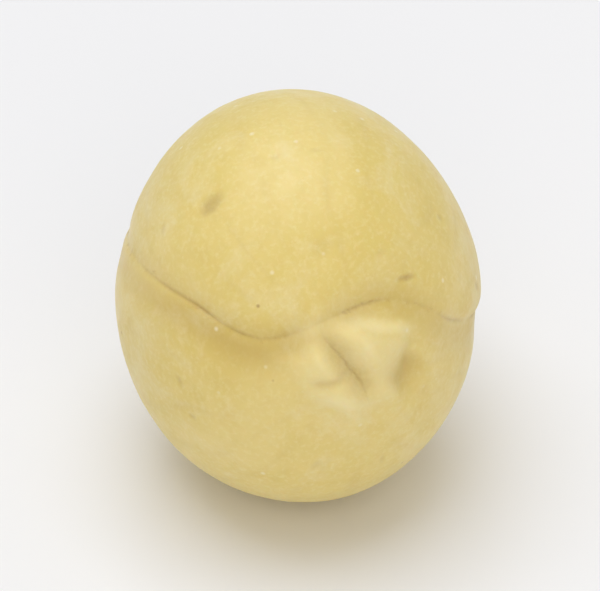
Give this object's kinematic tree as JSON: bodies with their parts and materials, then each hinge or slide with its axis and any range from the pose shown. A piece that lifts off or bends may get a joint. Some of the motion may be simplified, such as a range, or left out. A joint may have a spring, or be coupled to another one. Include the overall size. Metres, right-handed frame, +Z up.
{
  "type": "shelled macadamia kernel",
  "caption": "Whole shelled macadamia kernel: a pale, waxy, near-round nut with a seam between its seed leaves and a slotted germ tip, lying on a small flat spot.",
  "frame": {"origin": "middle of the small flat spot that the kernel rests on", "axes": "+Z is up from the surface it rests on, -Y is the side that the germ tip faces, +X is to the right as seen from the germ tip's side"},
  "size_m": [0.0178, 0.0182, 0.0199],
  "materials": {
    "kernel_flesh": "raw macadamia flesh: pale cream yellow, waxy and matte, faintly mottled"
  },
  "bodies": {
    "root": {"kernel": "kernel_flesh"}
  },
  "joints": []
}
